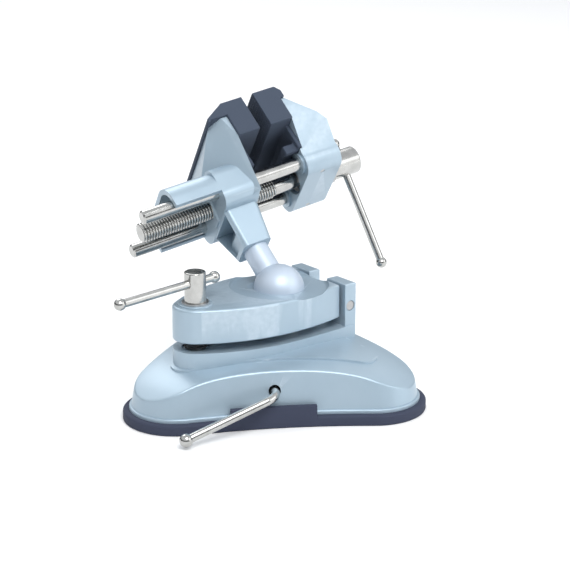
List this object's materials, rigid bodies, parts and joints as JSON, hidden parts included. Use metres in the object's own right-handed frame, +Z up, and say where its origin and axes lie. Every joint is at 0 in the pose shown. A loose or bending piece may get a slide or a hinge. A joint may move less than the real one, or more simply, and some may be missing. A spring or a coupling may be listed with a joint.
{
  "type": "bench vise",
  "caption": "Small table vise on a rubber suction base: the head sits on a clamped ball joint, its jaw slides on two rods, driven by a lead screw with a sliding bar.",
  "frame": {"origin": "centre of the rubber base's underside, on the table plane", "axes": "+Z up; +X from the clamp screw towards the hinge lugs; +Y to the side the head leans to"},
  "size_m": [0.2013, 0.1871, 0.1651],
  "materials": {
    "paint": "satin silver-blue paint over cast aluminium",
    "ball_paint": "satin silver paint on a turned ball and stem",
    "base_rubber": "matt black rubber",
    "pad_rubber": "matt black rubber, hatched gripping faces",
    "chrome": "bright plated steel",
    "steel": "plain steel",
    "dark_steel": "blackened steel"
  },
  "bodies": {
    "base": {"base_shell": "paint", "suction_pad": "base_rubber", "hinge_pin": "steel", "clamp_spring": "dark_steel"},
    "stud": {"pull_stud": "steel"},
    "lever": {"lock_lever": "chrome", "lever_cam": "steel", "lever_clip": "steel", "lever_ball": "chrome"},
    "plate": {"clamp_plate": "paint"},
    "washer": {"clamp_washer": "steel"},
    "clamp_screw": {"clamp_screw": "chrome"},
    "clamp_bar": {"clamp_bar": "chrome", "clamp_bar_balls": "chrome"},
    "seat": {"seat_ring": "steel"},
    "ball": {"ball_stem": "ball_paint"},
    "head": {"fixed_jaw": "paint", "stem_grub_screw": "dark_steel", "fixed_jaw_pad": "pad_rubber"},
    "slider": {"moving_jaw": "paint", "moving_jaw_pad": "pad_rubber", "guide_rod_near": "chrome", "guide_rod_far": "chrome", "rod_pins": "steel", "thrust_washer": "steel"},
    "screw": {"lead_screw": "chrome", "screw_ring": "steel"},
    "screw_bar": {"screw_bar": "chrome", "screw_bar_balls": "chrome"}
  },
  "joints": [
    {"name": "lever_turn", "type": "hinge", "parent": "base", "child": "lever", "pos_m": [-0.0026, 0.0015, 0.0194], "axis": [0.5, 0.866, 0], "range_deg": [0, 180]},
    {"name": "stud_lift", "type": "slide", "parent": "base", "child": "stud", "axis": [0, 0, 1], "range_m": [0, 0.004]},
    {"name": "clamp_rise", "type": "slide", "parent": "base", "child": "washer", "axis": [0, 0, 1], "range_m": [0, 0.000625]},
    {"name": "clamp_turn", "type": "hinge", "parent": "washer", "child": "clamp_screw", "pos_m": [-0.05, 0, 0.07], "axis": [0, 0, 1], "range_deg": [0, 150]},
    {"name": "plate_tilt", "type": "hinge", "parent": "base", "child": "plate", "pos_m": [0.04035, 0, 0.05], "axis": [0, 1, 0], "range_deg": [0, 0.35], "deforming": ["clamp_spring"]},
    {"name": "clamp_bar_slide", "type": "slide", "parent": "clamp_screw", "child": "clamp_bar", "axis": [0.9905, 0.1374, 0], "range_m": [-0.005, 0.03]},
    {"name": "swivel", "type": "hinge", "parent": "base", "child": "seat", "pos_m": [0.008, 0, 0.06], "axis": [0, 0, 1], "range_deg": [-135, 30]},
    {"name": "tilt", "type": "hinge", "parent": "seat", "child": "ball", "pos_m": [0.008, 0, 0.06], "axis": [-0.9995, -0.033, 0], "range_deg": [-48, 10]},
    {"name": "head_spin", "type": "hinge", "parent": "ball", "child": "head", "pos_m": [0.008, 0, 0.06], "axis": [-0.0248, 0.751, 0.6598], "range_deg": [-45, 45]},
    {"name": "jaw_slide", "type": "slide", "parent": "head", "child": "slider", "axis": [0.9764, -0.1234, 0.1771], "range_m": [-0.0068, 0.043]},
    {"name": "screw_turn", "type": "hinge", "parent": "slider", "child": "screw", "pos_m": [0.00646, 0.04656, 0.10091], "axis": [0.9764, -0.1234, 0.1771], "range_deg": [-1400, 8850]},
    {"name": "screw_bar_slide", "type": "slide", "parent": "screw", "child": "screw_bar", "axis": [-0.099, 0.4732, 0.8754], "range_m": [0, 0.052]}
  ],
  "couplings": [
    {"joint": "stud_lift", "follows": "lever_turn", "m_per_rad": 0.0012732},
    {"joint": "clamp_rise", "follows": "clamp_turn", "m_per_rad": 0.00023873},
    {"joint": "plate_tilt", "follows": "clamp_turn", "ratio": 0.0023333},
    {"joint": "screw_turn", "follows": "jaw_slide", "rad_per_m": 3590.4}
  ]
}
